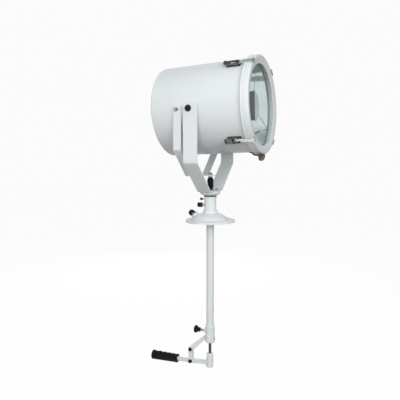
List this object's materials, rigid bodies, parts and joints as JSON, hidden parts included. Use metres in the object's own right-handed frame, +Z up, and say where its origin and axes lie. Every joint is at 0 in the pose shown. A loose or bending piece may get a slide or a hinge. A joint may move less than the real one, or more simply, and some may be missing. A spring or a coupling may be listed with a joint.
{
  "type": "marine searchlight",
  "caption": "White cabin-controlled marine searchlight: latched drum in a yoke above a deck flange, turned and tilted by a handle under a long tube.",
  "frame": {"origin": "centre of the deck flange's underside, on the pan axis", "axes": "+Z up along the pan axis, +X the way the lamp points at rest, the tilt axis along Y, the handle towards -X"},
  "size_m": [0.5531, 0.4326, 1.4029],
  "materials": {
    "white_paint": "semi-gloss cool white paint",
    "stainless": "brushed stainless steel",
    "plated": "bright plated",
    "black_steel": "blackened steel",
    "dark_steel": "dark oiled steel",
    "bronze": "dull bronze",
    "black_rubber": "matte black rubber",
    "grip_plastic": "ribbed black grip",
    "knob_plastic": "moulded black knob",
    "clear_glass": "clear toughened glass",
    "bulb_glass": "clear lamp glass",
    "mirror_metal": "polished reflector",
    "holder_ceramic": "off-white insulating ceramic",
    "shield_grey": "satin grey"
  },
  "bodies": {
    "base": {"deck_base": "white_paint", "support_tube": "white_paint", "upper_bush": "bronze", "lower_bush": "bronze", "tube_collar": "white_paint", "gland_body": "plated", "gland_nut": "plated", "gland_seal": "black_rubber", "neck_lock_bolt": "black_steel", "neck_set_screw": "black_steel"},
    "lock_screw": {"lock_stem": "stainless"},
    "lock_handle": {"lock_knob": "knob_plastic"},
    "pan": {"pan_tube": "stainless", "turntable": "white_paint", "yoke": "white_paint", "yoke_bolts": "stainless", "rod_guides": "bronze", "handle_sleeve": "white_paint", "sleeve_screw": "dark_steel", "fulcrum_arm": "white_paint", "gaiter": "black_rubber"},
    "rod": {"push_rod": "dark_steel", "tilt_fork": "white_paint", "fork_nuts": "stainless", "rod_block": "white_paint", "block_pin": "white_paint"},
    "lever": {"control_lever": "white_paint", "hand_grip": "grip_plastic"},
    "link": {"control_link": "white_paint", "link_bolt": "black_steel", "arm_bolt": "black_steel"},
    "head": {"drum_shell": "white_paint", "rear_cover": "white_paint", "bezel_ring": "white_paint", "front_glass": "clear_glass", "glass_gasket": "black_rubber", "reflector_seat": "stainless", "reflector": "mirror_metal", "reflector_screws": "stainless", "lamp_holder": "holder_ceramic", "lamp_bulb": "bulb_glass", "glare_shield": "shield_grey", "shield_stays": "stainless", "side_bosses": "white_paint", "tilt_bolts": "black_steel", "tilt_washers": "stainless", "fork_pins": "black_steel", "hinge_bracket": "bronze", "hinge_pin": "dark_steel", "bezel_lug": "bronze", "latch_bases": "stainless"},
    "latch_1": {"latch_lever_1": "stainless"},
    "hook_1": {"latch_hook_1": "stainless"},
    "latch_2": {"latch_lever_2": "stainless"},
    "hook_2": {"latch_hook_2": "stainless"},
    "latch_3": {"latch_lever_3": "stainless"},
    "hook_3": {"latch_hook_3": "stainless"},
    "latch_4": {"latch_lever_4": "stainless"},
    "hook_4": {"latch_hook_4": "stainless"}
  },
  "joints": [
    {"name": "pan_turn", "type": "hinge", "parent": "base", "child": "pan", "pos_m": [0, 0, 0.2], "axis": [0, 0, 1], "range_deg": [-180, 180]},
    {"name": "head_tilt", "type": "hinge", "parent": "pan", "child": "head", "pos_m": [-0.008, 0, 0.481], "axis": [0, -1, 0], "range_deg": [-30, 30]},
    {"name": "rod_lift", "type": "slide", "parent": "pan", "child": "rod", "axis": [0, 0, 1], "range_m": [-0.0297, 0.0297], "deforming": ["gaiter"]},
    {"name": "lever_swing", "type": "hinge", "parent": "rod", "child": "lever", "pos_m": [0, 0, -0.6553], "axis": [0, 1, 0], "range_deg": [-17.82, 17.82]},
    {"name": "link_sway", "type": "hinge", "parent": "lever", "child": "link", "pos_m": [-0.097, 0, -0.6653], "axis": [0, 1, 0], "range_deg": [-14.81, 14.81]},
    {"name": "lock_feed", "type": "slide", "parent": "base", "child": "lock_screw", "axis": [-1, 0, 0], "range_m": [0, 0.0015]},
    {"name": "lock_turn", "type": "hinge", "parent": "lock_screw", "child": "lock_handle", "pos_m": [-0.06, 0, -0.508], "axis": [-1, 0, 0], "range_deg": [0, 360]},
    {"name": "latch_1_open", "type": "hinge", "parent": "head", "child": "latch_1", "pos_m": [0.17256, -0.13081, 0.65715], "axis": [-0.0202, 0.766, 0.6425], "range_deg": [0, 110]},
    {"name": "hook_1_turn", "type": "hinge", "parent": "latch_1", "child": "hook_1", "pos_m": [0.15861, -0.12952, 0.65518], "axis": [-0.0202, 0.766, 0.6425], "range_deg": [-110, 0]},
    {"name": "latch_2_open", "type": "hinge", "parent": "head", "child": "latch_2", "pos_m": [0.18213, -0.13879, 0.35258], "axis": [-0.0214, -0.7314, 0.6817], "range_deg": [0, 110]},
    {"name": "hook_2_turn", "type": "hinge", "parent": "latch_2", "child": "hook_2", "pos_m": [0.16809, -0.13742, 0.3536], "axis": [-0.0214, -0.7314, 0.6817], "range_deg": [-110, 0]},
    {"name": "latch_3_open", "type": "hinge", "parent": "head", "child": "latch_3", "pos_m": [0.17256, 0.13081, 0.65715], "axis": [0.0202, 0.766, -0.6425], "range_deg": [0, 110]},
    {"name": "hook_3_turn", "type": "hinge", "parent": "latch_3", "child": "hook_3", "pos_m": [0.15861, 0.12952, 0.65518], "axis": [0.0202, 0.766, -0.6425], "range_deg": [-110, 0]},
    {"name": "latch_4_open", "type": "hinge", "parent": "head", "child": "latch_4", "pos_m": [0.18213, 0.13879, 0.35258], "axis": [0.0214, -0.7314, -0.6817], "range_deg": [0, 110]},
    {"name": "hook_4_turn", "type": "hinge", "parent": "latch_4", "child": "hook_4", "pos_m": [0.16809, 0.13742, 0.3536], "axis": [0.0214, -0.7314, -0.6817], "range_deg": [-110, 0]}
  ],
  "couplings": [
    {"joint": "rod_lift", "follows": "head_tilt", "m_per_rad": -0.056341},
    {"joint": "lever_swing", "follows": "head_tilt", "ratio": 0.59051},
    {"joint": "link_sway", "follows": "head_tilt", "ratio": -0.49027},
    {"joint": "lock_turn", "follows": "lock_feed", "rad_per_m": 4188.8},
    {"joint": "hook_1_turn", "follows": "latch_1_open", "ratio": -1},
    {"joint": "hook_2_turn", "follows": "latch_2_open", "ratio": -1},
    {"joint": "hook_3_turn", "follows": "latch_3_open", "ratio": -1},
    {"joint": "hook_4_turn", "follows": "latch_4_open", "ratio": -1}
  ]
}
